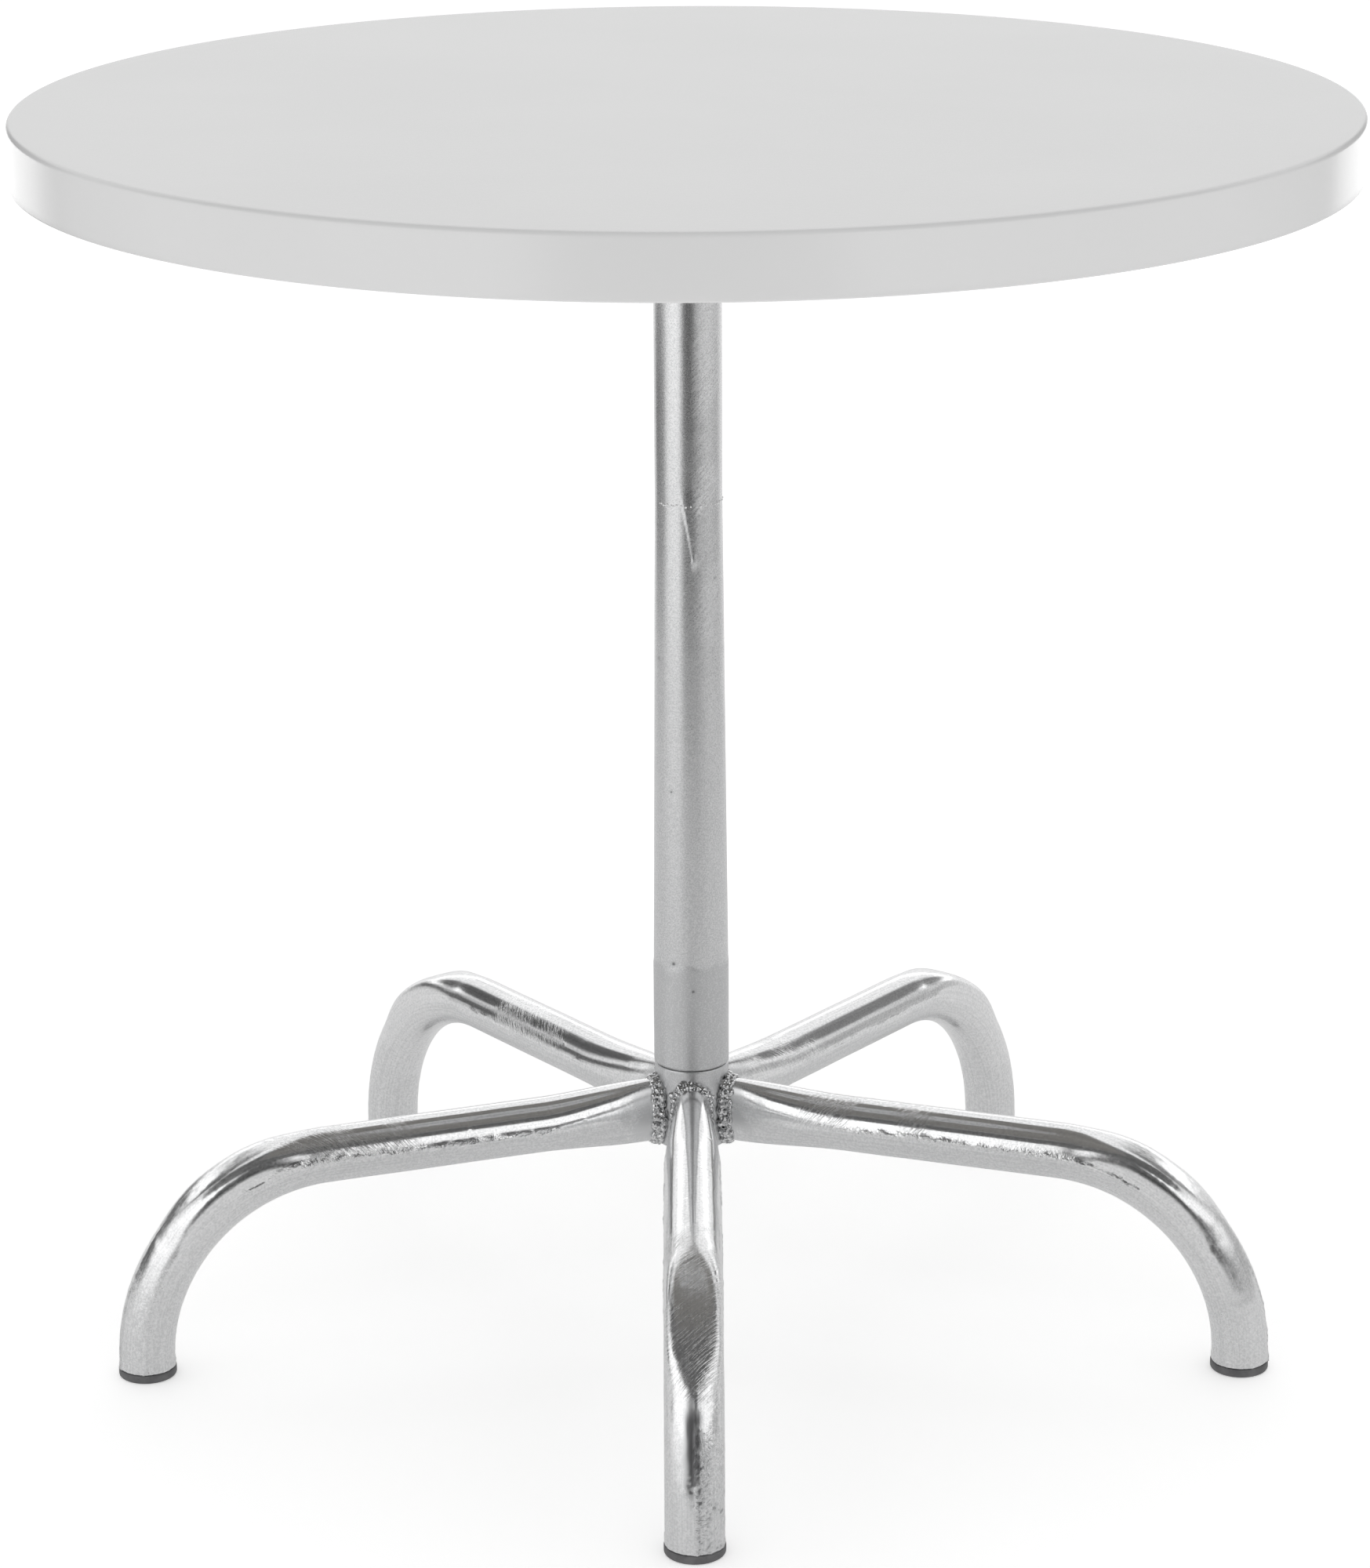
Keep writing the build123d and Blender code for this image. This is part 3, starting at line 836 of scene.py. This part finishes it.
def plug(index, name, material):
    """Plastic glide: a round-edged flange that shows, and the stem inside the pipe."""
    radius = (plug_high.x - plug_low.x) / 2
    top = FOOT_END
    stem = LEG_RADIUS - PIPE_WALL - 1.2 * MM
    edge = 1.6 * MM
    outline = line((1.5 * MM, 0.0), (radius - edge, 0.0), 8)
    outline += arc((radius - edge, edge), edge, -90, 0, 8)
    outline += [(radius, edge + 0.8 * MM), (radius, top - 0.6 * MM)]
    outline += [(radius - 0.4 * MM, top - 0.1 * MM), (stem + 0.3 * MM, top)]
    outline += [(stem, top + 0.4 * MM), (stem, plug_high.z - 1.0 * MM)]
    outline += [(stem - 1.0 * MM, plug_high.z), (1.5 * MM, plug_high.z)]
    piece = lathe("plug_" + name, outline, PLUG_COLUMNS)
    out, _, _ = directions(index)
    piece.data.transform(Matrix.Translation(FOOT_OUT * out))
    return finish_piece(piece, material, "foot_plastic", "foot_plug_" + name)


def dress(node, material):
    """Gives a CAD node its material."""
    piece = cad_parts[node]
    piece.data.materials.clear()
    piece.data.materials.append(material)


# --- stage ---
def make_camera():
    camera = bpy.data.objects.new("camera", bpy.data.cameras.new("camera"))
    camera.data.lens = CAMERA_LENS
    camera.data.sensor_width = CAMERA_SENSOR
    camera.data.clip_end = 200.0
    tilt = Matrix.Rotation(math.radians(90 - CAMERA_PITCH), 4, "X")
    roll = Matrix.Rotation(math.radians(-CAMERA_ROLL), 4, "Z")
    place = Matrix.Translation((CAMERA_SIDE, -CAMERA_BACK, CAMERA_HEIGHT))
    camera.matrix_world = place @ tilt @ roll
    bpy.context.scene.collection.objects.link(camera)
    bpy.context.scene.camera = camera


def circle(radius, height):
    """Points on a circle about the column's axis."""
    turns = [math.tau * i / ROUND_COUNT for i in range(ROUND_COUNT)]
    return [(math.cos(t) * radius, math.sin(t) * radius, height) for t in turns]


def make_floor():
    """Pale sweep, lit a little from beneath."""
    material, tree, shader = new_material("floor_white")
    shiny = add(tree, "ShaderNodeLightPath").outputs["Is Glossy Ray"]
    white = grey(tree, shiny, (0.95, 0.95, 0.95), (0.66, 0.66, 0.66))
    tree.links.new(white, shader.inputs["Base Color"])
    shader.inputs["Roughness"].default_value = 0.8
    shader.inputs["Emission Color"].default_value = (1.0, 1.0, 1.0, 1.0)
    glow = blend(tree, shiny, FLOOR_GLOW, FLOOR_GLOW * 0.6)
    tree.links.new(glow, shader.inputs["Emission Strength"])
    mesh = bpy.data.meshes.new("floor")
    mesh.from_pydata(circle(FLOOR_RADIUS, 0), [], [list(range(ROUND_COUNT))])
    mesh.materials.append(material)
    floor = bpy.data.objects.new("floor", mesh)
    bpy.context.scene.collection.objects.link(floor)


def softbox(name, place, target, width, height, power):
    """Soft light that shows in no reflection."""
    light = bpy.data.lights.new(name, "AREA")
    light.shape = "RECTANGLE"
    light.size = width
    light.size_y = height
    light.energy = power
    lamp = bpy.data.objects.new(name, light)
    lamp.location = place
    lamp.rotation_euler = (Vector(target) - Vector(place)).to_track_quat("-Z", "Y").to_euler()
    lamp.visible_camera = False
    lamp.visible_glossy = False
    bpy.context.scene.collection.objects.link(lamp)


def by_bearing(tree, vector, stops):
    """A level that changes with the direction round the table, and the height."""
    parts = add(tree, "ShaderNodeSeparateXYZ")
    tree.links.new(vector, parts.inputs["Vector"])
    x, y, z = (parts.outputs[k] for k in "XYZ")
    bearing = math_node(tree, "ARCTAN2", x, math_node(tree, "MULTIPLY", y, -1.0))
    turn = math_node(tree, "ADD", math_node(tree, "DIVIDE", bearing, math.tau), 0.5)
    ramp = add(tree, "ShaderNodeValToRGB")
    ramp.color_ramp.interpolation = "EASE"
    first, last = ramp.color_ramp.elements
    for made, (at, level) in zip((first, last), (stops[0], stops[-1])):
        made.position = at
        made.color = (level, level, level, 1)
    for at, level in stops[1:-1]:
        made = ramp.color_ramp.elements.new(at)
        made.color = (level, level, level, 1)
    tree.links.new(turn, ramp.inputs["Fac"])
    return ramp.outputs["Color"], z


def make_world():
    """White studio behind and overhead, with a darker room on the front side."""
    world = bpy.data.worlds.new("studio")
    bpy.context.scene.world = world
    world.use_nodes = True
    tree = world.node_tree
    tree.nodes.clear()
    way = add(tree, "ShaderNodeTexCoord").outputs["Generated"]
    level, height = by_bearing(tree, way, ROOM)
    parts = add(tree, "ShaderNodeSeparateXYZ")
    tree.links.new(way, parts.inputs["Vector"])
    behind = remap(tree, parts.outputs["Y"], 0.35, 0.5)
    overhead = blend(tree, behind, DARK_CEILING, 1.0)
    level = blend(tree, remap(tree, height, 0.6, 0.68), level, overhead)
    paths = add(tree, "ShaderNodeLightPath")
    level = blend(tree, paths.outputs["Is Diffuse Ray"], level, ROOM_DIFFUSE)
    level = blend(tree, paths.outputs["Is Camera Ray"], level, 1.0)
    background = add(tree, "ShaderNodeBackground")
    tree.links.new(level, background.inputs["Color"])
    output = add(tree, "ShaderNodeOutputWorld")
    tree.links.new(background.outputs["Background"], output.inputs["Surface"])


def make_screens():
    """Ring of reflector cards and dark flags round the table, seen only in shiny surfaces."""
    material, tree, _ = new_material("screens")
    place = add(tree, "ShaderNodeTexCoord").outputs["Object"]
    level, height = by_bearing(tree, place, SCREEN_LAYERS[0][2])
    for start, full, stops in SCREEN_LAYERS[1:]:
        above, height = by_bearing(tree, place, stops)
        level = blend(tree, remap(tree, height, start, full), level, above)
    glow = add(tree, "ShaderNodeEmission")
    tree.links.new(level, glow.inputs["Color"])
    tree.links.new(glow.outputs["Emission"], tree.nodes["Material Output"].inputs["Surface"])
    verts = circle(SCREEN_RADIUS, SCREEN_LOW) + circle(SCREEN_RADIUS, SCREEN_HIGH)
    pairs = [(i, (i + 1) % ROUND_COUNT) for i in range(ROUND_COUNT)]
    faces = [(i, j, j + ROUND_COUNT, i + ROUND_COUNT) for i, j in pairs]
    mesh = bpy.data.meshes.new("screens")
    mesh.from_pydata(verts, [], faces)
    mesh.materials.append(material)
    screens = bpy.data.objects.new("screens", mesh)
    for kind in ("camera", "diffuse", "transmission", "volume_scatter", "shadow"):
        setattr(screens, "visible_" + kind, False)
    bpy.context.scene.collection.objects.link(screens)


def make_stage():
    make_camera()
    make_floor()
    make_world()
    make_screens()
    softbox("overhead", (0.0, 0.6, 3.2), (0, 0, 0.3), 3.6, 3.0, OVERHEAD_POWER)
    softbox("front_fill", (0.0, -3.6, 1.2), (0, 0, 0.6), 3.2, 1.6, FRONT_POWER)
    scene = bpy.context.scene
    scene.view_settings.view_transform = "Standard"
    scene.cycles.use_denoising = True


def main():
    make_stage()
    bright = zinc(
        "zinc_legs", (0.7, 0.705, 0.71), (0.93, 0.93, 0.935), (0.12, 0.4), 700.0, 0.01 * MM,
        streaky=1.0, wipe_depth=0.07 * MM, patchy=0.15,
    )
    dull = zinc(
        "zinc_column", (0.6, 0.605, 0.61), (0.82, 0.82, 0.825), (0.25, 0.44), 1100.0, 0.016 * MM,
        streaky=0.1, wipe_depth=0.05 * MM, patchy=0.1,
    )
    lumpy = zinc(
        "zinc_weld", (0.3, 0.305, 0.31), (0.86, 0.86, 0.865), (0.1, 0.3), 700.0, 0.03 * MM,
        patchy=0.3, crevice_shade=True,
    )
    hidden = zinc(
        "zinc_hardware", (0.5, 0.5, 0.505), (0.7, 0.7, 0.7), (0.25, 0.45), 700.0, 0.02 * MM,
        patchy=0.4,
    )
    plastic = plug_plastic()
    tabletop(gelcoat())
    column(dull)
    hub(dull)
    for index, name in enumerate(LEG_NAMES):
        leg(index, name, bright)
        weld(index, name, lumpy)
        plug(index, name, plastic)
    dress("core_board", plywood())
    for node in ("top_flange", "hub_base_plate", "gusset_1", "gusset_2", "gusset_3", "gusset_4"):
        dress(node, dull)
    dress("flange_weld", lumpy)
    for node in ("column_nut_plate", "spigot_tube"):
        dress(node, hidden)
    for node in ("threaded_inserts", "top_screws", "top_washers", "clamp_bolt", "clamp_washer"):
        dress(node, hidden)


main()
